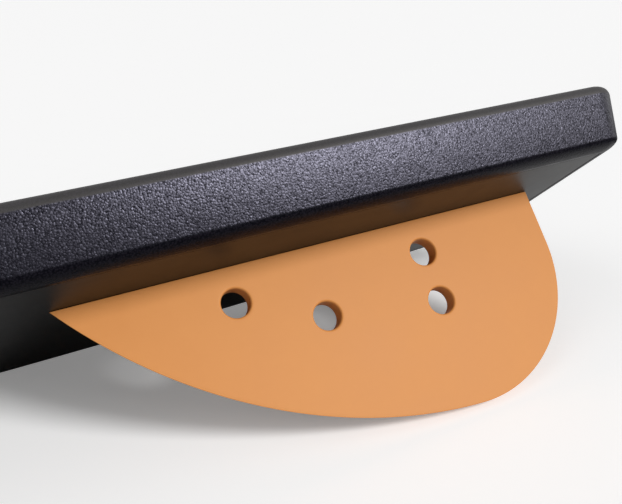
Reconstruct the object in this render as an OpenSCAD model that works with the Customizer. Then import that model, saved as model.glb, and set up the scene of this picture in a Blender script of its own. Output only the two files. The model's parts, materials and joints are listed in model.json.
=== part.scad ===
// Padded slant board that leans on its bowed edge and on two fin-shaped plug-in feet.
// Board frame, before the lean: x runs along the straight edge, y from that edge to the bow,
// z up from the underside. The feet hang below z = 0.

/* [Board] */
// Length of the board along its straight edge
board_length = 800; // [740:10:960]
// Width from the straight edge to the crown of the bowed edge
board_width = 209; // [195:1:240]
// Thickness from the underside to the padded top
board_thickness = 36; // [34:1:48]
// Slant of the side walls, drawn in towards the underside, in degrees
wall_draft = 13; // [0:1:15]
// Rounding of the upper edge
top_edge_r = 5.5; // [4:0.5:12]
// Width of the lower edge's rounding, along the underside
bottom_edge_w = 12.5; // [6:0.5:15]
// Height of the lower edge's rounding
bottom_edge_h = 5; // [4.5:0.5:8]
// Plan radius of the corners on the straight edge
front_corner_r = 21; // [18:1:40]
// Plan radius of the corners on the bowed edge
back_corner_r = 48; // [32:1:60]
// Plan radius of the bowed edge
bow_r = 1670; // [1300:10:3000]

/* [Layers] */
// Thickness of the leatherette cover
cover_t = 1.2; // [0.8:0.1:1.6]
// Width of the cover turned in under the core panel
turn_in = 14; // [10:1:20]
// Thickness of the base sheet
base_t = 1.5; // [1:0.1:2]
// Thickness of the core panel
core_t = 18; // [18:1:21]
// Clearance round the foam
soft_gap = 0.3; // [0.2:0.05:0.5]
// Open seam between the base sheet and the cover
base_seam = 0.2; // [0.1:0.05:0.5]

/* [Staples] */
// Width of a staple's crown
staple_w = 10; // [8:1:12]
// Thickness of the staple wire
staple_wire = 0.6; // [0.5:0.1:0.8]
// Length of a staple's legs
staple_leg = 8; // [6:1:12]
// Largest spacing between staples
staple_pitch = 90; // [60:5:120]

/* [Feet] */
// Length of a foot from its upright edge to its tip
foot_length = 291; // [270:1:300]
// Depth of a foot below the underside
foot_depth = 111.5; // [100:0.5:125]
// Thickness of a foot
foot_t = 10; // [9:0.5:14]
// Radius of a foot's rounded heel
heel_r = 77; // [60:1:85]
// Radius of a foot's long lower curve
belly_r = 288; // [280:2:340]
// Slant of a foot's rim, drawn in towards its back, in degrees
rim_taper = 15; // [0:1:20]
// Distance of a foot's upright edge from the end of the board
foot_inset = 42.5; // [38:0.5:50]
// Distance of a foot's outer face from the straight edge of the board
foot_y = 66; // [60:1:75]
// Gap between a seated foot and the base sheet
seat_gap = 0.1; // [0.05:0.05:0.2]

/* [Foot holes] */
// Diameter of the holes in a foot
hole_d = 16; // [10:0.5:20]
// Bevel round the rims of the holes
hole_bevel = 0.8; // [0.4:0.1:1.2]
// Depth of the upper row of holes
upper_row = 20; // [16:1:24]
// Depth of the middle hole
middle_row = 40; // [36:1:45]
// Depth of the lower hole
lower_row = 50; // [46:1:60]
// Distance of the pair of holes from the upright edge
pair_at = 84.5; // [70:0.5:95]
// Distance of the middle hole from the upright edge
middle_at = 154; // [140:1:165]
// Distance of the hole by the tip from the upright edge
tip_at = 200.5; // [185:0.5:205]

/* [Sockets] */
// Length of a tenon
tenon_l = 60; // [50:1:70]
// Thickness of a tenon
tenon_t = 8; // [6:0.5:8.5]
// Height of a tenon above the underside
tenon_h = 16; // [12:0.5:16.5]
// Distance of the outer tenon's middle from the upright edge
outer_tenon_at = 70; // [65:1:75]
// Distance of the inner tenon's middle from the upright edge
inner_tenon_at = 205; // [195:1:215]
// Clearance on each side of a tenon
tenon_gap = 0.2; // [0.15:0.05:0.4]
// Room above a tenon in its sleeve
tenon_headroom = 1; // [0.5:0.25:2]
// Wall of a socket's sleeve
sleeve_t = 1.2; // [1:0.1:1.6]
// Thickness of a socket's flange
flange_t = 1.5; // [1.2:0.1:2]
// Width of a socket's flange
flange_w = 20; // [16:1:26]
// Length of the flange beyond each end of the sleeve
flange_end = 16; // [12:1:18]
// Clearance of the sockets and screws in the core panel
let_in_gap = 0.1; // [0.05:0.05:0.2]
// Shank diameter of a socket screw
screw_d = 3.5; // [3:0.5:4]
// Head diameter of a socket screw
screw_head_d = 6.5; // [6:0.5:7.5]
// Length of a socket screw
screw_l = 12; // [10:1:15]
// Blunt end of a socket screw
screw_point_d = 0.5; // [0.2:0.1:1]

/* [Hidden] */
$fn = 96;
far = 2000;
overshoot = 1;
corner_steps = 8;
bow_steps = 12;
bottom_steps = 5;
top_steps = 6;
belly_steps = 36;
heel_steps = 24;

// Insets of the centres of the two edge roundings from the widest outline of the board
bottom_reach = norm([bottom_edge_w * cos(wall_draft), bottom_edge_h * sin(wall_draft)]);
bottom_inset = (board_thickness - bottom_edge_h) * tan(wall_draft) + bottom_reach / cos(wall_draft);
top_inset = top_edge_r * tan(wall_draft) + top_edge_r / cos(wall_draft);

// Plan values shared by every outline of the board
half_length = board_length / 2;
bow_y = board_width - bow_r;
least_corner_r = 1;

// Heights of the layers
turn_in_z = base_t + staple_wire;
core_z = turn_in_z + cover_t;
core_top = base_t + core_t;
turn_in_from = acos((bottom_edge_h - core_z) / (bottom_edge_h - cover_t));
core_rim = bottom_inset + turn_in + soft_gap;

// Lean at which the backs of the feet and the bowed edge stand on one floor
rim_draw = foot_t * tan(rim_taper);
back_depth = foot_depth - rim_draw;
reach = board_width - bottom_inset - foot_y - foot_t;
drop = back_depth + bottom_edge_h;
span = pow(reach, 2) - pow(bottom_edge_w, 2);
lean = atan((drop * reach - sqrt(pow(drop * bottom_edge_w, 2) + span * pow(bottom_edge_h, 2))) / span);
floor_z = (foot_y + foot_t) * sin(lean) + back_depth * cos(lean);
front_y = foot_y * cos(lean) - foot_depth * sin(lean);
back_y = (board_width - top_inset) * cos(lean) + (board_thickness - top_edge_r) * sin(lean) + top_edge_r;

// Foot outline: distance from the upright edge, depth below the underside
heel = [heel_r, foot_depth - heel_r];
tip = [foot_length, 0];
heel_to_tip = norm(tip - heel);
along = (pow(belly_r - heel_r, 2) - pow(belly_r, 2) + pow(heel_to_tip, 2)) / (2 * heel_to_tip);
across = sqrt(pow(belly_r - heel_r, 2) - pow(along, 2));
towards_tip = (tip - heel) / heel_to_tip;
belly = heel + along * towards_tip + across * [towards_tip.y, -towards_tip.x];
junction = atan2(belly.y - heel.y, belly.x - heel.x);
foot_holes = [[pair_at, upper_row], [pair_at, lower_row], [middle_at, middle_row], [tip_at, upper_row]];

foot_edge_x = half_length - foot_inset;
foot_mid_y = foot_y + foot_t / 2;
socket_l = tenon_l + 2 * (tenon_gap + sleeve_t);
socket_w = tenon_t + 2 * (tenon_gap + sleeve_t);
sleeve_top = tenon_h + tenon_headroom;
screw_at = (socket_l + flange_end) / 2;

// Places of the staples: x, y and the turn of the crown
staple_inset = bottom_inset + turn_in / 2;
front_run = half_length - staple_inset - staple_w;
front_count = ceil(2 * front_run / staple_pitch);
back_corner = back_corner_at(staple_inset);
bow_run = atan2(back_corner.x, back_corner.y - bow_y);
bow_count = ceil(2 * back_corner.x / staple_pitch);
end_run = back_corner.y - front_corner_r;
end_count = ceil(end_run / staple_pitch);
staples = concat(
    [for (i = [0:front_count]) [front_run * (2 * i / front_count - 1), staple_inset, 0]],
    [for (i = [0:bow_count]) let (a = bow_run * (2 * i / bow_count - 1))
        [(bow_r - staple_inset) * sin(a), bow_y + (bow_r - staple_inset) * cos(a), -a]],
    [for (side = [-1, 1], i = [0.5:end_count]) [side * (half_length - staple_inset),
        front_corner_r + end_run * i / end_count, 90]]);

// Points of an arc, counter-clockwise
function arc(centre, r, from, to, steps) =
    [for (i = [0:steps]) let (a = from + (to - from) * i / steps) centre + r * [cos(a), sin(a)]];

// Corner radii and centres of the outline drawn in by an inset
function corner_r(r, inset) = max(r - inset, least_corner_r);

function front_corner_at(inset) = let (r = corner_r(front_corner_r, inset))
    [half_length - inset - r, inset + r];

function back_corner_at(inset) = let (r = corner_r(back_corner_r, inset), x = half_length - inset - r)
    [x, bow_y + sqrt(pow(bow_r - inset - r, 2) - pow(x, 2))];

// Outline of the board drawn in by an inset, counter-clockwise from the left end
function plan(inset) = let (
        front = front_corner_at(inset),
        front_r = corner_r(front_corner_r, inset),
        back = back_corner_at(inset),
        back_r = corner_r(back_corner_r, inset),
        bow_end = atan2(back.y - bow_y, back.x))
    concat(
        arc([-front.x, front.y], front_r, 180, 270, corner_steps),
        arc(front, front_r, 270, 360, corner_steps),
        arc(back, back_r, 0, bow_end, corner_steps),
        [for (i = [1:bow_steps - 1]) let (a = bow_end + (180 - 2 * bow_end) * i / bow_steps)
            [0, bow_y] + (bow_r - inset) * [cos(a), sin(a)]],
        arc([-back.x, back.y], back_r, 180 - bow_end, 180, corner_steps));

// Inset and height along the lower and upper roundings of the padded form, drawn in by shrink
function lower_edge(shrink, from = 0) =
    let (w = bottom_edge_w - shrink, h = bottom_edge_h - shrink, to = atan2(w, h * tan(wall_draft)))
    [for (i = [0:bottom_steps]) let (a = from + (to - from) * i / bottom_steps)
        [bottom_inset - w * sin(a), bottom_edge_h - h * cos(a)]];

function upper_edge(shrink) =
    [for (i = [0:top_steps])
        let (a = (90 + wall_draft) * i / top_steps - wall_draft, r = top_edge_r - shrink)
        [top_inset - r * cos(a), board_thickness - top_edge_r + r * sin(a)]];

function reversed(list) = [for (i = [len(list) - 1:-1:0]) list[i]];

// Outline of a foot drawn in at its edges, counter-clockwise from the top of its upright edge at x = 0
function fin_outline(draw) = let (
        r = belly_r - draw,
        tip_y = belly.y - seat_gap,
        tip_x = -sqrt(pow(r, 2) - pow(tip_y, 2)))
    concat(
        [[-draw, -seat_gap]],
        arc(-belly, r, atan2(tip_y, tip_x), junction, belly_steps),
        [for (i = [1:heel_steps]) let (a = junction * (1 - i / heel_steps))
            (heel_r - draw) * [cos(a), sin(a)] - heel]);

// Solid through outlines of equal counts of points, capped at both ends
module stacked(rings) {
    n = len(rings[0]);
    last = len(rings) - 1;
    polyhedron(
        points = [for (ring = rings) each ring],
        faces = concat(
            [[for (j = [0:n - 1]) j], [for (j = [n - 1:-1:0]) last * n + j]],
            [for (i = [0:last - 1], j = [0:n - 1]) let (k = (j + 1) % n, low = i * n, high = low + n)
                each [[low + j, high + j, high + k], [low + j, high + k, low + k]]]));
}

// Solid through the outlines of the board that a path of insets and heights gives
module lofted(path) stacked([for (step = path) [for (p = plan(step[0])) [p.x, p.y, step[1]]]]);

module padded_form(shrink) lofted(concat(lower_edge(shrink), upper_edge(shrink)));

module plan_slab(inset, z, height) translate([0, 0, z]) linear_extrude(height) polygon(plan(inset));

module slab_between(z, top) translate([-far / 2, -far / 2, z]) cube([far, far, top - z]);

// Stands the part on the floor, leaning back from the straight edge
module leaning() translate([0, -(front_y + back_y) / 2, floor_z]) rotate([-lean, 0, 0]) children();

// Place of a tenon on the right foot, by the distance of its middle from the upright edge
module at_tenon(at) translate([foot_edge_x - at, foot_mid_y, 0]) children();

module each_tenon() for (side = [0, 1], at = [outer_tenon_at, inner_tenon_at])
    mirror([side, 0, 0]) at_tenon(at) children();

module block(l, w, z, top) translate([-l / 2, -w / 2, z]) cube([l, w, top - z]);

module tenon_room(z, top) block(tenon_l + 2 * tenon_gap, tenon_t + 2 * tenon_gap, z, top);

// Staple with its crown under the turned-in cover and its legs up in the core panel
module staple() {
    block(staple_w, staple_wire, base_t, turn_in_z);
    for (side = [-1, 1]) translate([side * (staple_w - staple_wire) / 2, 0, 0])
        block(staple_wire, staple_wire, base_t, base_t + staple_leg);
}

// Countersunk screw, head in the flange and shank up into the core panel
module socket_screw(gap) translate([0, 0, base_t]) {
    cylinder(h = flange_t, d1 = screw_head_d + 2 * gap, d2 = screw_d + 2 * gap);
    cylinder(h = screw_l - screw_d + gap, d = screw_d + 2 * gap);
    translate([0, 0, screw_l - screw_d + gap])
        cylinder(h = screw_d, d1 = screw_d + 2 * gap, d2 = screw_point_d);
}

module socket_screws(gap) for (end = [-1, 1]) translate([end * screw_at, 0, 0]) socket_screw(gap);

module socket() difference() {
    union() {
        block(socket_l + 2 * flange_end, flange_w, base_t, base_t + flange_t);
        block(socket_l, socket_w, base_t, sleeve_top);
    }
    tenon_room(0, sleeve_top + overshoot);
    socket_screws(let_in_gap / 2);
}

// Room for a socket and its screws in the core panel
module socket_room() {
    block(socket_l + 2 * (flange_end + let_in_gap), flange_w + 2 * let_in_gap, 0, base_t + flange_t);
    block(socket_l + 2 * let_in_gap, socket_w + 2 * let_in_gap, 0, sleeve_top + let_in_gap);
    socket_screws(let_in_gap);
}

// Fin, with its back at z = 0 and the underside of the board at y = 0
module fin() stacked([for (face = [[rim_draw, 0], [0, foot_t]])
    [for (p = fin_outline(face[0])) [p.x, p.y, face[1]]]]);

module foot_hole() {
    translate([0, 0, -overshoot]) cylinder(h = foot_t + 2 * overshoot, d = hole_d);
    for (face = [0, 1]) translate([0, 0, face * foot_t]) mirror([0, 0, face]) translate([0, 0, -hole_bevel])
        cylinder(h = 2 * hole_bevel, d1 = hole_d + 4 * hole_bevel, d2 = hole_d);
}

module foot() {
    translate([foot_edge_x, foot_y + foot_t, 0]) rotate([90, 0, 0]) difference() {
        fin();
        for (h = foot_holes) translate([-h[0], -h[1], 0]) foot_hole();
    }
    for (at = [outer_tenon_at, inner_tenon_at]) at_tenon(at) block(tenon_l, tenon_t, -2 * seat_gap, tenon_h);
}

// Cover: down the inside, in and out along the turned-in edge, then up the outside
module cover() color("#26242b") leaning() lofted(concat(
    reversed(upper_edge(cover_t)),
    reversed(lower_edge(cover_t, turn_in_from)),
    [[bottom_inset + turn_in, core_z], [bottom_inset + turn_in, turn_in_z], [bottom_inset, turn_in_z]],
    lower_edge(0),
    upper_edge(0)));

module base_sheet() color("#1d1c1e") leaning() difference() {
    plan_slab(bottom_inset + base_seam, 0, base_t);
    each_tenon() tenon_room(-overshoot, base_t + overshoot);
}

module top_foam() color("#d8d2b8") leaning() intersection() {
    padded_form(cover_t + soft_gap);
    slab_between(core_top, board_thickness);
}

module edge_foam() color("#d8d2b8") leaning() difference() {
    intersection() {
        padded_form(cover_t + soft_gap);
        slab_between(core_z + soft_gap, core_top - soft_gap);
    }
    plan_slab(bottom_inset - soft_gap, 0, core_top);
}

module core_panel() color("#c9a572") leaning() difference() {
    union() {
        plan_slab(bottom_inset, core_z, core_top - core_z);
        plan_slab(core_rim, base_t, core_z - base_t);
    }
    each_tenon() socket_room();
}

module cover_staples() color("#b9bcc0") leaning()
    for (s = staples) translate([s[0], s[1], 0]) rotate(s[2]) staple();

module right_outer_socket() color("#a9adb2") leaning() at_tenon(outer_tenon_at) socket();

module right_inner_socket() color("#a9adb2") leaning() at_tenon(inner_tenon_at) socket();

module left_inner_socket() color("#a9adb2") leaning() mirror([1, 0, 0]) at_tenon(inner_tenon_at) socket();

module left_outer_socket() color("#a9adb2") leaning() mirror([1, 0, 0]) at_tenon(outer_tenon_at) socket();

module foot_screws() for (at = [outer_tenon_at, inner_tenon_at]) at_tenon(at) socket_screws(0);

module right_socket_screws() color("#c6b98a") leaning() foot_screws();

module left_socket_screws() color("#c6b98a") leaning() mirror([1, 0, 0]) foot_screws();

module right_foot() color("#dc965a") leaning() foot();

module left_foot() color("#dc965a") leaning() mirror([1, 0, 0]) foot();

cover();
base_sheet();
top_foam();
edge_foam();
core_panel();
cover_staples();
right_outer_socket();
right_inner_socket();
left_inner_socket();
left_outer_socket();
right_socket_screws();
left_socket_screws();
right_foot();
left_foot();
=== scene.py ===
"""Looks of a padded slant board: grained cover, smooth base sheet and two drilled fin-shaped feet."""

import json
import math

import bmesh
import bpy
from mathutils import Matrix, Vector


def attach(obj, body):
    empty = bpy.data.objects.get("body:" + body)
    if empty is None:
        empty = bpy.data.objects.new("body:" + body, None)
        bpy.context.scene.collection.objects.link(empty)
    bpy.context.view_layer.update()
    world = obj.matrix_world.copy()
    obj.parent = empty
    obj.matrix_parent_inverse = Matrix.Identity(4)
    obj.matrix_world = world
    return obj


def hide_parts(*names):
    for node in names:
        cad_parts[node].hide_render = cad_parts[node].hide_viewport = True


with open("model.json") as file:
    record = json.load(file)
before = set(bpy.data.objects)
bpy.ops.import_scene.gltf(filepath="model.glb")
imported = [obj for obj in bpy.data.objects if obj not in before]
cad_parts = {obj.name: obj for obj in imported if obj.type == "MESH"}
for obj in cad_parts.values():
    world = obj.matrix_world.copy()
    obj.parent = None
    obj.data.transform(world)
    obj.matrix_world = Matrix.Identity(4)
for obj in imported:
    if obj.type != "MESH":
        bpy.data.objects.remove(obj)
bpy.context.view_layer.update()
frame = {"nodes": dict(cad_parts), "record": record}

MM = 0.001

# Camera, fitted to the photograph
PHOTO_WIDTH_PX = 622
FOCAL_PX = 744.4
SENSOR_MM = 36.0
CAMERA_AT = (0.0540, -0.3630, 0.2700)
CAMERA_HEADING = math.radians(-24.52)
CAMERA_TILT = math.radians(63.28)
CAMERA_ROLL = math.radians(-2.83)
CAMERA_CLIP = 0.01

# Board: roundings, corners and slant of the walls
TOP_EDGE_R = 5.5 * MM
BOTTOM_EDGE_W = 12.5 * MM
BOTTOM_EDGE_H = 5 * MM
FRONT_CORNER_R = 19.6 * MM
BACK_CORNER_R = 46.6 * MM
BOW_R = 1668.6 * MM
LEAST_CORNER_R = 1 * MM
WALL_DRAFT = math.radians(13)
SMOOTH_RIM = 2 * MM
CROWN = 1.5 * MM
CROWN_REACH = 55 * MM
CROWN_STEP = 17 * MM

# Layers of the board
COVER_T = 1.2 * MM
TURN_IN = 14 * MM
TURN_IN_Z = 2.1 * MM
SOFT_GAP = 0.3 * MM

# Feet
HEEL_R = 77 * MM
BELLY_R = 288 * MM
RIM_TAPER = math.radians(15)
RIM_INSET = 2.2 * MM
HOLE_ROUNDING = 1.2 * MM
EDGE_ROUNDING = 0.35 * MM
TENON_L = 60 * MM
TENON_T = 8 * MM
TENON_CHAMFER = 1 * MM
TENON_MIDDLES = (70 * MM, 205 * MM)
SEAT_GAP = 0.1 * MM
SHARP_ANGLE = math.radians(35)

# Tolerances: vertices that are one, vertices at one height, walls of a hole, margin beside the cover's walls,
# and the least upright share of the normal of a plate's flat face
SAME_PLACE = 0.001 * MM
SAME_HEIGHT = 0.01 * MM
HOLE_MARGIN = 0.1 * MM
WALL_MARGIN = 0.3 * MM
FLAT_SHARE = 0.5

# Stage, in metres: half the floor's side, the height of cards on the floor and the distance of the lamps
FLOOR_HALF = 6.0
CARD_LIFT = 0.003
LAMP_AWAY = 200.0

# The floor's grey as seen and as it lights the board, the glow it is seen with, and the world's even light
FLOOR_SEEN = 1.0
FLOOR_BOUNCE = 0.6
FLOOR_LIFT = 0.2
WORLD_LIGHT = 0.15

# Counts of steps round the arcs
CORNER_STEPS = 20
BOW_STEPS = 32
BOTTOM_STEPS = 8
TOP_STEPS = 12
HEEL_STEPS = 48
BELLY_STEPS = 40
HOLE_STEPS = 64
RIM_SEGMENTS = 5

# The board's own frame: x along the straight edge, y towards the bow, z from the underside to the top
mounts = {mount["name"]: mount for mount in frame["record"]["mounts"]}
top_normal = Vector(mounts["top_face"]["axis"])
upright = Matrix.Rotation(math.atan2(top_normal.y, top_normal.z), 4, "X")


def corners(points):
    """Lowest and highest corner of a cloud of points."""
    points = list(points)
    return (Vector([min(p[i] for p in points) for i in range(3)]),
            Vector([max(p[i] for p in points) for i in range(3)]))


cover_low, cover_high = corners(upright @ v.co for v in frame["nodes"]["cover"].data.vertices)
board_to_part = upright.inverted() @ Matrix.Translation((0, cover_low.y, cover_low.z))
part_to_board = board_to_part.inverted()
half_length = cover_high.x
board_width = cover_high.y - cover_low.y
board_thickness = cover_high.z - cover_low.z
bow_y = board_width - BOW_R
bottom_reach = math.hypot(BOTTOM_EDGE_W * math.cos(WALL_DRAFT), BOTTOM_EDGE_H * math.sin(WALL_DRAFT))
bottom_inset = TOP_EDGE_R + (
    (board_thickness - TOP_EDGE_R - BOTTOM_EDGE_H) * math.sin(WALL_DRAFT) - TOP_EDGE_R + bottom_reach
) / math.cos(WALL_DRAFT)


def board_box(node):
    """Lowest and highest corner of a CAD node in the board's own frame."""
    return corners(part_to_board @ v.co for v in frame["nodes"][node].data.vertices)


def arc(bm, start, centre, angle, steps):
    """Turns a vertex counter-clockwise about a centre and returns the vertex at the arc's end."""
    turned = bmesh.ops.spin(bm, geom=[start], cent=centre, axis=(0, 0, 1), angle=angle, steps=steps)
    return turned["geom_last"][0]


def outline(bm, inset, height):
    """Closed outline of the board drawn in by an inset: four corner arcs and the bow. Returns its edges."""
    before = set(bm.edges)
    front_r = max(FRONT_CORNER_R - inset, LEAST_CORNER_R)
    back_r = max(BACK_CORNER_R - inset, LEAST_CORNER_R)
    front_x = half_length - inset - front_r
    front_y = inset + front_r
    back_x = half_length - inset - back_r
    back_y = bow_y + math.sqrt((BOW_R - inset - back_r) ** 2 - back_x ** 2)
    bow_half = math.atan2(back_x, back_y - bow_y)
    quarter = math.radians(90)

    first = bm.verts.new((-half_length + inset, front_y, height))
    front_left = arc(bm, first, (-front_x, front_y, height), quarter, CORNER_STEPS)
    front_right = bm.verts.new((front_x, inset, height))
    bm.edges.new((front_left, front_right))
    right = arc(bm, front_right, (front_x, front_y, height), quarter, CORNER_STEPS)
    back_right = bm.verts.new((half_length - inset, back_y, height))
    bm.edges.new((right, back_right))
    bow_right = arc(bm, back_right, (back_x, back_y, height), quarter - bow_half, CORNER_STEPS)
    bow_left = arc(bm, bow_right, (0, bow_y, height), 2 * bow_half, BOW_STEPS)
    back_left = arc(bm, bow_left, (-back_x, back_y, height), quarter - bow_half, CORNER_STEPS)
    bm.edges.new((back_left, first))
    return [edge for edge in bm.edges if edge not in before]


def lower_edge(shrink, start=0.0):
    """Insets and heights along the lower rounding, from the underside to the wall."""
    width = BOTTOM_EDGE_W - shrink
    height = BOTTOM_EDGE_H - shrink
    end = math.atan2(width, height * math.tan(WALL_DRAFT))
    angles = [start + (end - start) * i / BOTTOM_STEPS for i in range(BOTTOM_STEPS + 1)]
    return [(bottom_inset - width * math.sin(a), BOTTOM_EDGE_H - height * math.cos(a)) for a in angles]


def upper_edge(shrink):
    """Insets and heights along the upper rounding, from the wall to the top."""
    r = TOP_EDGE_R - shrink
    sweep = math.radians(90) + WALL_DRAFT
    angles = [sweep * i / TOP_STEPS - WALL_DRAFT for i in range(TOP_STEPS + 1)]
    return [(TOP_EDGE_R - r * math.cos(a), board_thickness - TOP_EDGE_R + r * math.sin(a)) for a in angles]


def lofted(path, closed=False):
    """Form through the board's outlines along a path of insets and heights, capped at both ends or closed.

    Each strip is bridged between its own two rings, because a bridge between level rings can turn over
    where one of them already has faces.
    """
    bm = bmesh.new()
    following = path[1:] + path[:1] if closed else path[1:]
    for near, far in zip(path, following):
        bmesh.ops.bridge_loops(bm, edges=outline(bm, *near) + outline(bm, *far))
    if not closed:
        for end in (path[0], path[-1]):
            bmesh.ops.contextual_create(bm, geom=outline(bm, *end))
    bmesh.ops.remove_doubles(bm, verts=bm.verts, dist=SAME_PLACE)
    return bm


def smoothstep(t):
    """Eases from 0 to 1, flat at both ends."""
    t = min(max(t, 0.0), 1.0)
    return t * t * (3 - 2 * t)


def insets(point):
    """How far a point lies inside the long edges and inside the ends."""
    bow = bow_y + math.sqrt(BOW_R ** 2 - point.x ** 2)
    return min(point.y, bow - point.y), half_length - abs(point.x)


def crown_at(point):
    """Rise of the padded top: none at its rim, full from the crown's reach inwards."""
    side, end = (inset - TOP_EDGE_R for inset in insets(point))
    return CROWN * smoothstep(side / CROWN_REACH) * smoothstep(end / CROWN_REACH)


def raise_crown(bm, height):
    """Cuts the flat cap at a height into a grid and raises it to the crown."""
    def cap():
        verts = [v for v in bm.verts if abs(v.co.z - height) < SAME_HEIGHT]
        flat = set(verts)
        edges = [e for e in bm.edges if flat.issuperset(e.verts)]
        return verts, edges, [f for f in bm.faces if flat.issuperset(f.verts)]

    columns = round(2 * half_length / CROWN_STEP)
    rows = round(board_width / CROWN_STEP)
    cuts = [((half_length * (2 * i / columns - 1), 0, 0), (1, 0, 0)) for i in range(1, columns)]
    cuts += [((0, board_width * i / rows, 0), (0, 1, 0)) for i in range(1, rows)]
    for place, direction in cuts:
        verts, edges, faces = cap()
        bmesh.ops.bisect_plane(bm, geom=verts + edges + faces, plane_co=place, plane_no=direction)
    for v in cap()[0]:
        v.co.z += crown_at(v.co)


def piece(bm, name, body, finish, stands_for, place=board_to_part):
    """Finishes a bmesh as a smooth-shaded piece in the frame of the part, which rides on a body."""
    bmesh.ops.transform(bm, matrix=place, verts=bm.verts)
    bmesh.ops.remove_doubles(bm, verts=bm.verts, dist=SAME_PLACE)
    bmesh.ops.recalc_face_normals(bm, faces=bm.faces)
    mesh = bpy.data.meshes.new(name)
    bm.to_mesh(mesh)
    bm.free()
    mesh.shade_smooth()
    mesh.materials.append(finish)
    made = bpy.data.objects.new(name, mesh)
    bpy.context.scene.collection.objects.link(made)
    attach(made, body)
    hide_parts(stands_for)
    return made


def add(tree, kind, settings=None, sockets=None):
    """Adds a shader node: settings are its properties, sockets its inputs as values or links."""
    node = tree.nodes.new("ShaderNode" + kind)
    for name, value in (settings or {}).items():
        setattr(node, name, value)
    for name, value in (sockets or {}).items():
        if isinstance(value, bpy.types.NodeSocket):
            tree.links.new(value, node.inputs[name])
        else:
            node.inputs[name].default_value = value
    return node


def ramp(tree, factor, stops):
    """Colour ramp through (position, colour) stops."""
    node = add(tree, "ValToRGB", sockets={"Fac": factor})
    elements = node.color_ramp.elements
    while len(elements) < len(stops):
        elements.new(1.0)
    for element, (position, colour) in zip(elements, stops):
        element.position = position
        element.color = (*colour, 1.0)
    return node.outputs["Color"]


def between(tree, value, low, high):
    """Maps a value from 0 to 1 onto a range."""
    return add(tree, "MapRange", sockets={"Value": value, "To Min": low, "To Max": high}).outputs["Result"]


def noise(tree, place, scale, detail=2.0, rough=0.5):
    """Cloudy pattern from 0 to 1."""
    sockets = {"Vector": place, "Scale": scale, "Detail": detail, "Roughness": rough}
    return add(tree, "TexNoise", sockets=sockets).outputs["Fac"]


def math_node(tree, operation, a, b):
    """Sum, product or other operation on two values or links."""
    return add(tree, "Math", {"operation": operation}, {0: a, 1: b}).outputs["Value"]


def new_finish(name, constants):
    """Material with a Principled shader. Returns it, its tree, the shader and its Object coordinates."""
    made = bpy.data.materials.new(name)
    made.use_nodes = True
    tree = made.node_tree
    shader = tree.nodes["Principled BSDF"]
    for socket, value in constants.items():
        shader.inputs[socket].default_value = value
    place = add(tree, "TexCoord").outputs["Object"]
    return made, tree, shader, place


def bump(tree, shader, height, depth, strength=1.0):
    """Relief of a depth in metres, from a height of 0 to 1."""
    node = add(tree, "Bump", sockets={"Height": height, "Distance": depth, "Strength": strength})
    tree.links.new(node.outputs["Normal"], shader.inputs["Normal"])


def leatherette():
    """Black leatherette with a fine pebble grain, smooth over the upper edge, with painted shade in its
    hollows and on its lower edge, whose reflection is cut down.
    """
    made, tree, shader, place = new_finish("leatherette", {"IOR": 1.55})
    cell = add(tree, "TexVoronoi", {"feature": "F1"}, {"Vector": place, "Scale": 1000.0}).outputs["Distance"]
    glint = add(tree, "TexVoronoi", {"feature": "F1"}, {"Vector": place, "Scale": 1500.0}).outputs["Color"]
    hollow = math_node(tree, "POWER", cell, 2.0)
    broad = noise(tree, place, scale=110.0, detail=3.0)
    stretched = add(tree, "Attribute", {"attribute_name": "stretch"}).outputs["Fac"]
    under_shaded = add(tree, "Attribute", {"attribute_name": "under_shade"}).outputs["Fac"]
    # The base colour darkens from each pebble's middle to its edge: painted shade in the hollows between
    # pebbles.
    tree.links.new(ramp(tree, cell, [(0.2, (0.012, 0.011, 0.016)), (0.7, (0.003, 0.003, 0.005))]),
                   shader.inputs["Base Color"])
    tree.links.new(ramp(tree, stretched, [(0.0, (0.81, 0.79, 1.0)), (1.0, (1.0, 0.95, 0.90))]),
                   shader.inputs["Specular Tint"])
    shine = between(tree, stretched, between(tree, glint, 0.03, 0.85), 0.5)
    # On the lower rounding the specular level drops to 0.04: painted shade.
    tree.links.new(between(tree, under_shaded, shine, 0.04), shader.inputs["Specular IOR Level"])
    dullness = between(tree, stretched, between(tree, broad, 0.27, 0.41), 0.58)
    tree.links.new(dullness, shader.inputs["Roughness"])
    pebbles = math_node(tree, "MULTIPLY", hollow, -1.0)
    bump(tree, shader, pebbles, depth=0.095 * MM, strength=between(tree, stretched, 1.0, 0.1))
    return made


def base_black():
    """Smooth black sheet with faint scuffs."""
    made, tree, shader, place = new_finish("base_black", {"IOR": 1.45, "Specular IOR Level": 0.22})
    along = add(tree, "Mapping", sockets={"Vector": place, "Scale": (0.25, 1.0, 1.0)}).outputs["Vector"]
    cloud = noise(tree, place, scale=28.0, detail=4.0)
    scuff = noise(tree, along, scale=260.0, detail=4.0, rough=0.65)
    tree.links.new(ramp(tree, scuff, [(0.40, (0.003, 0.003, 0.003)), (0.78, (0.007, 0.007, 0.007))]),
                   shader.inputs["Base Color"])
    tree.links.new(between(tree, cloud, 0.38, 0.48), shader.inputs["Roughness"])
    bump(tree, shader, scuff, depth=0.03 * MM, strength=0.3)
    return made


def foot_orange():
    """Satin orange plate, faintly mottled."""
    made, tree, shader, place = new_finish("foot_orange", {"IOR": 1.46, "Specular IOR Level": 0.2})
    cloud = noise(tree, place, scale=26.0, detail=4.0, rough=0.6)
    fine = noise(tree, place, scale=900.0)
    tree.links.new(ramp(tree, cloud, [(0.30, (0.70, 0.285, 0.080)), (0.70, (0.73, 0.305, 0.09))]),
                   shader.inputs["Base Color"])
    tree.links.new(between(tree, cloud, 0.42, 0.54), shader.inputs["Roughness"])
    bump(tree, shader, fine, depth=0.03 * MM, strength=0.25)
    return made


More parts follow.
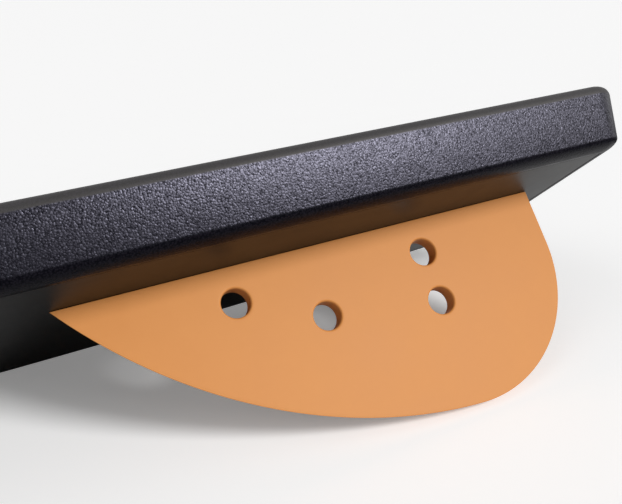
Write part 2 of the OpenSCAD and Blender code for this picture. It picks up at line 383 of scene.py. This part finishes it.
def foam_cream():
    """Open-cell foam."""
    made, tree, shader, place = new_finish("foam_cream", {"Roughness": 0.95})
    cell = add(tree, "TexVoronoi", sockets={"Vector": place, "Scale": 900.0}).outputs["Distance"]
    tree.links.new(ramp(tree, cell, [(0.1, (0.52, 0.47, 0.34)), (0.6, (0.80, 0.76, 0.64))]),
                   shader.inputs["Base Color"])
    bump(tree, shader, cell, depth=0.3 * MM, strength=0.6)
    return made


def birch_ply():
    """Sanded plywood with its grain along the board."""
    made, tree, shader, place = new_finish("birch_ply", {"Roughness": 0.6})
    along = add(tree, "Mapping", sockets={"Vector": place, "Scale": (0.05, 1.0, 1.0)}).outputs["Vector"]
    figure = noise(tree, along, scale=160.0, detail=5.0, rough=0.6)
    tree.links.new(ramp(tree, figure, [(0.3, (0.46, 0.29, 0.15)), (0.7, (0.66, 0.48, 0.29))]),
                   shader.inputs["Base Color"])
    bump(tree, shader, figure, depth=0.05 * MM, strength=0.3)
    return made


def steel(name, colour):
    """Brushed, plated steel of a colour, darker in the brush marks."""
    made, tree, shader, place = new_finish(name, {"Metallic": 1.0})
    along = add(tree, "Mapping", sockets={"Vector": place, "Scale": (0.04, 1.0, 1.0)}).outputs["Vector"]
    brush = noise(tree, along, scale=2500.0, detail=3.0)
    dark = tuple(0.82 * c for c in colour)
    tree.links.new(ramp(tree, brush, [(0.3, dark), (0.7, colour)]), shader.inputs["Base Color"])
    tree.links.new(between(tree, brush, 0.28, 0.45), shader.inputs["Roughness"])
    return made


def mark_edges(made):
    """Marks the vertices of the cover on its upper rounding as stretched, and those on its lower rounding for
    painted shade, where the leatherette's reflection is cut down.
    """
    made.data.attributes.new("stretch", "FLOAT", "POINT")
    made.data.attributes.new("under_shade", "FLOAT", "POINT")
    stretch, under_shade = made.data.attributes["stretch"].data, made.data.attributes["under_shade"].data
    wall_low, wall_high = lower_edge(0)[-1][1], upper_edge(0)[0][1]
    for i, vertex in enumerate(made.data.vertices):
        point = part_to_board @ vertex.co
        on_rim = min(insets(point)) < TOP_EDGE_R + SMOOTH_RIM / 2
        stretch[i].value = float(on_rim and point.z > wall_high + WALL_MARGIN)
        # The lower rounding is marked for painted shade.
        under_shade[i].value = float(point.z < wall_low - WALL_MARGIN)


def make_cover(finish):
    """Leatherette skin: down its inside, round the turned-in hem, and up its outside to the crowned top."""
    hem = [(bottom_inset + TURN_IN, TURN_IN_Z + COVER_T), (bottom_inset + TURN_IN, TURN_IN_Z),
           (bottom_inset, TURN_IN_Z)]
    hem_start = math.acos((BOTTOM_EDGE_H - TURN_IN_Z - COVER_T) / (BOTTOM_EDGE_H - COVER_T))
    inside = upper_edge(COVER_T)[::-1] + lower_edge(COVER_T, hem_start)[::-1]
    top_rim = (TOP_EDGE_R + SMOOTH_RIM, board_thickness)
    bm = lofted(inside + hem + lower_edge(0) + upper_edge(0) + [top_rim])
    raise_crown(bm, board_thickness - COVER_T)
    raise_crown(bm, board_thickness)
    made = piece(bm, "padded_cover", "board", finish, "cover")
    mark_edges(made)


def wall_inset(shrink, height):
    """Inset of the slanting wall, drawn in by shrink, at a height."""
    (low_inset, low), (high_inset, high) = lower_edge(shrink)[-1], upper_edge(shrink)[0]
    return low_inset + (high_inset - low_inset) * (height - low) / (high - low)


def make_top_foam(finish):
    """Foam sheet under the cover, with the cover's crown."""
    shrink = COVER_T + SOFT_GAP
    bottom = board_box("top_foam")[0].z
    bm = lofted([(wall_inset(shrink, bottom), bottom)] + upper_edge(shrink))
    raise_crown(bm, board_thickness - shrink)
    made = piece(bm, "top_foam_pad", "board", finish, "top_foam")


def make_edge_foam(finish):
    """Foam ring between the panel's edge and the cover's wall."""
    shrink = COVER_T + SOFT_GAP
    low, high = (corner.z for corner in board_box("edge_foam"))
    start = math.acos((BOTTOM_EDGE_H - low) / (BOTTOM_EDGE_H - shrink))
    inner = bottom_inset - SOFT_GAP
    bm = lofted(lower_edge(shrink, start) + [(wall_inset(shrink, high), high), (inner, high), (inner, low)],
                closed=True)
    made = piece(bm, "edge_foam_strip", "board", finish, "edge_foam")


def polar(vector):
    """Angle of a direction in the plate's plane."""
    return math.atan2(vector.y, vector.x)


def fin_outline(bm, length, depth, tenon_reach, height, draw):
    """Outline of the fin from its upright edge at x = 0 to its tip at x = -length. Returns its edges.

    The rim is drawn in by an amount, and the top edge has a stop at each end of each tenon.
    """
    before = set(bm.edges)
    heel = Vector((-HEEL_R, HEEL_R - depth, height))
    tip = Vector((-length, -SEAT_GAP, height))
    span = tip - heel
    along = ((BELLY_R - HEEL_R) ** 2 - BELLY_R ** 2 + span.length_squared) / (2 * span.length)
    across = math.sqrt((BELLY_R - HEEL_R) ** 2 - along ** 2)
    belly = heel + (along * span + across * Vector((span.y, -span.x, 0))) / span.length
    junction = polar(heel - belly)
    tip_at = math.sqrt((BELLY_R - draw) ** 2 - (belly.y + SEAT_GAP) ** 2) - belly.x

    last = start = bm.verts.new((-draw, -SEAT_GAP, height))
    stops = [at + side * tenon_reach for at in TENON_MIDDLES for side in (-1, 1)]
    for x in stops + [tip_at]:
        following = bm.verts.new((-x, -SEAT_GAP, height))
        bm.edges.new((last, following))
        last = following
    last = arc(bm, last, belly, junction - polar(last.co - belly), BELLY_STEPS)
    last = arc(bm, last, heel, -junction, HEEL_STEPS)
    bm.edges.new((last, start))
    return [edge for edge in bm.edges if edge not in before]


def is_wall(face):
    """Whether a face of the plate is a wall of its outline or of a hole."""
    return abs(face.normal.z) < FLAT_SHARE


def rims(bm, wanted):
    """Edges between the plate's flat faces and those of its walls whose middle is wanted."""
    def chosen(edge):
        walls = [face for face in edge.link_faces if is_wall(face)]
        return len(walls) == 1 and wanted(walls[0].calc_center_median())
    return [edge for edge in bm.edges if chosen(edge)]


def round_edges(bm, edges, radius):
    """Rounds edges of the plate."""
    bmesh.ops.bevel(bm, geom=edges, offset=radius, affect="EDGES", segments=RIM_SEGMENTS, profile=0.5,
                    material=-1, clamp_overlap=True)


def raise_tenon(bm, at, margin, height):
    """Draws a tenon out of the plate's top edge and chamfers its end."""
    top = min(bm.faces, key=lambda f: (f.calc_center_median() - Vector((-at, -SEAT_GAP, 0))).length)
    bmesh.ops.inset_region(bm, faces=[top], thickness=margin, use_boundary=True, use_even_offset=True)
    drawn = bmesh.ops.extrude_discrete_faces(bm, faces=[top])["faces"]
    rise = Vector((0, height + SEAT_GAP - TENON_CHAMFER, 0))
    bmesh.ops.translate(bm, vec=rise, verts=drawn[0].verts)
    bmesh.ops.inset_region(bm, faces=drawn, thickness=TENON_CHAMFER, depth=TENON_CHAMFER, use_boundary=True,
                           use_even_offset=True)


def make_foot(side, hand, finish):
    """Fin-shaped plate with rounded rims, drilled holes and two tenons.

    It is drawn lying down, for the right side. A hand of -1 mirrors it to the left.
    """
    low, high = board_box(side + "_foot")
    edge_x = max(abs(low.x), abs(high.x))
    length = high.x - low.x
    thickness = high.y - low.y
    margin = (thickness - TENON_T) / 2 - EDGE_ROUNDING
    holes = [(part_to_board @ Vector(mount["pos_m"]), mount["dims"]["r_mm"] * MM)
             for name, mount in mounts.items() if name.startswith(side) and mount["kind"] == "bore"]
    centres = [Vector((hand * point.x - edge_x, point.z, 0)) for point, r in holes]

    bm = bmesh.new()
    back, front = [], []
    for loops, height, draw in ((back, 0, thickness * math.tan(RIM_TAPER)), (front, thickness, 0)):
        loops.append(fin_outline(bm, length, -low.z, TENON_L / 2 + margin, height, draw))
        for centre, (point, r) in zip(centres, holes):
            place = Matrix.Translation(centre + Vector((0, 0, height)))
            rim = bmesh.ops.create_circle(bm, segments=HOLE_STEPS, radius=r, matrix=place)["verts"]
            loops.append(list(dict.fromkeys(edge for v in rim for edge in v.link_edges)))
        bmesh.ops.triangle_fill(bm, use_beauty=True, edges=sum(loops, []), normal=(0, 0, 1))
    for near, far in zip(back, front):
        bmesh.ops.bridge_loops(bm, edges=near + far)
    bmesh.ops.recalc_face_normals(bm, faces=bm.faces)
    for facing in (-1, 1):
        cap = [face for face in bm.faces if face.normal.z * facing > FLAT_SHARE]
        bmesh.ops.inset_region(bm, faces=cap, thickness=RIM_INSET, use_boundary=True, use_even_offset=True)

    def near_hole(point):
        return any((point.xy - centre.xy).length < r + HOLE_MARGIN
                   for centre, (position, r) in zip(centres, holes))

    round_edges(bm, rims(bm, near_hole), HOLE_ROUNDING)
    round_edges(bm, rims(bm, lambda point: not near_hole(point)), EDGE_ROUNDING)
    bm.normal_update()
    for at in TENON_MIDDLES:
        raise_tenon(bm, at, margin, high.z)
    stand = Matrix.Rotation(math.radians(90), 4, "X") @ Matrix.Translation((0, 0, -thickness / 2))
    mirror = Matrix.Scale(hand, 4, (1, 0, 0))
    place = board_to_part @ mirror @ Matrix.Translation((edge_x, (low.y + high.y) / 2, 0)) @ stand
    made = piece(bm, side + "_fin", side + "_foot", finish, side + "_foot", place)
    made.data.set_sharp_from_angle(angle=SHARP_ANGLE)


def dress_nodes(finishes):
    """Gives the CAD nodes that stay their finishes."""
    for name, finish in finishes.items():
        node = frame["nodes"][name]
        node.data.materials.clear()
        node.data.materials.append(finish)


def make_camera():
    """Camera where the photograph was taken from."""
    data = bpy.data.cameras.new("photo_camera")
    data.sensor_fit = "HORIZONTAL"
    data.sensor_width = SENSOR_MM
    data.lens = FOCAL_PX / PHOTO_WIDTH_PX * SENSOR_MM
    data.clip_start = CAMERA_CLIP
    camera = bpy.data.objects.new("photo_camera", data)
    camera.matrix_world = (Matrix.Translation(CAMERA_AT) @ Matrix.Rotation(CAMERA_HEADING, 4, "Z")
                           @ Matrix.Rotation(CAMERA_TILT, 4, "X") @ Matrix.Rotation(CAMERA_ROLL, 4, "Z"))
    bpy.context.scene.collection.objects.link(camera)
    bpy.context.scene.camera = camera


def seen_ray(tree):
    """1 for rays of the camera, gloss and glass, 0 for rays of soft light."""
    path = add(tree, "LightPath").outputs
    seen = math_node(tree, "MAXIMUM", path["Is Camera Ray"], path["Is Glossy Ray"])
    return math_node(tree, "MAXIMUM", seen, path["Is Transmission Ray"])


def make_floor():
    """Plain white floor that keeps the board's shadow."""
    bm = bmesh.new()
    bmesh.ops.create_grid(bm, x_segments=1, y_segments=1, size=FLOOR_HALF)
    mesh = bpy.data.meshes.new("floor")
    bm.to_mesh(mesh)
    bm.free()
    made = bpy.data.materials.new("floor_white")
    made.use_nodes = True
    tree = made.node_tree
    shader = tree.nodes["Principled BSDF"]
    seen = seen_ray(tree)
    tree.links.new(between(tree, seen, FLOOR_BOUNCE, FLOOR_SEEN), shader.inputs["Base Color"])
    shader.inputs["Roughness"].default_value = 0.9
    shader.inputs["Specular IOR Level"].default_value = 0.0
    shader.inputs["Emission Color"].default_value = (1.0, 1.0, 1.0, 1.0)
    tree.links.new(between(tree, seen, 0.0, FLOOR_LIFT), shader.inputs["Emission Strength"])
    mesh.materials.append(made)
    floor = bpy.data.objects.new("floor", mesh)
    bpy.context.scene.collection.objects.link(floor)


def make_world(light):
    """Even studio light; what the camera, gloss and glass see of it is white."""
    world = bpy.data.worlds.new("studio")
    bpy.context.scene.world = world
    world.use_nodes = True
    tree = world.node_tree
    back = tree.nodes["Background"]
    back.inputs["Color"].default_value = (1.0, 1.0, 1.0, 1.0)
    tree.links.new(between(tree, seen_ray(tree), light, 1.0), back.inputs["Strength"])


def softbox(name, towards, strength, spread):
    """Round lamp at a distance, in a direction, that fills an angle of spread degrees."""
    data = bpy.data.lights.new(name, "AREA")
    data.shape = "DISK"
    data.size = 2 * LAMP_AWAY * math.tan(math.radians(spread) / 2)
    data.energy = strength * math.pi * LAMP_AWAY * LAMP_AWAY
    lamp = bpy.data.objects.new(name, data)
    lamp.matrix_world = Vector(towards).to_track_quat("Z", "Y").to_matrix().to_4x4()
    lamp.location = LAMP_AWAY * Vector(towards).normalized()
    lamp.visible_camera = False
    bpy.context.scene.collection.objects.link(lamp)


def make_card(name, centre, width, height, tilt=0, shade=0.01):
    """Dark or grey card that only gloss sees: painted shade in what the walls and the underside reflect."""
    bm = bmesh.new()
    bmesh.ops.create_grid(bm, x_segments=1, y_segments=1, size=0.5)
    bmesh.ops.scale(bm, vec=(width, height, 1), verts=bm.verts)
    bmesh.ops.rotate(bm, matrix=Matrix.Rotation(math.radians(tilt), 3, "X"), verts=bm.verts)
    bmesh.ops.translate(bm, vec=centre, verts=bm.verts)
    mesh = bpy.data.meshes.new(name)
    bm.to_mesh(mesh)
    bm.free()
    dark = bpy.data.materials.new(name)
    dark.use_nodes = True
    dark.node_tree.nodes["Principled BSDF"].inputs["Base Color"].default_value = (shade, shade, shade, 1.0)
    mesh.materials.append(dark)
    card = bpy.data.objects.new(name, mesh)
    card.visible_camera = False
    card.visible_diffuse = False
    card.visible_shadow = False
    bpy.context.scene.collection.objects.link(card)


make_cover(leatherette())
foam = foam_cream()
make_top_foam(foam)
make_edge_foam(foam)
orange = foot_orange()
make_foot("right", 1, orange)
make_foot("left", -1, orange)
socket_steel = steel("socket_steel", (0.50, 0.51, 0.53))
screw_steel = steel("screw_steel", (0.62, 0.56, 0.36))
dress_nodes({
    "base_sheet": base_black(),
    "core_panel": birch_ply(),
    "cover_staples": steel("staple_steel", (0.62, 0.63, 0.65)),
    "right_outer_socket": socket_steel,
    "right_inner_socket": socket_steel,
    "left_inner_socket": socket_steel,
    "left_outer_socket": socket_steel,
    "right_socket_screws": screw_steel,
    "left_socket_screws": screw_steel,
})

make_camera()
make_floor()
make_world(WORLD_LIGHT)
# Cards that only gloss sees: painted shade in the reflections of the cover and the base sheet.
make_card("front_card", (0.0, -300.0, 225.0), width=1000.0, height=450.0, tilt=90)
make_card("floor_card", (0.1, -0.60, CARD_LIFT), width=4.0, height=0.9)
make_card("under_card", (-0.20, 0.0, CARD_LIFT), width=0.8, height=0.3, shade=0.6)
make_card("end_card", (1.30, 0.43, CARD_LIFT), width=1.4, height=1.16)
softbox("key", (0.411, -0.633, 0.656), strength=1.85, spread=16)
softbox("side", (0.535, -0.713, 0.454), strength=0.8, spread=24)
softbox("overhead", (-0.60, 0.0, 0.80), strength=0.3, spread=40)
softbox("fill", (-0.70, -0.60, 0.35), strength=0.3, spread=60)

bpy.context.scene.view_settings.view_transform = "Standard"
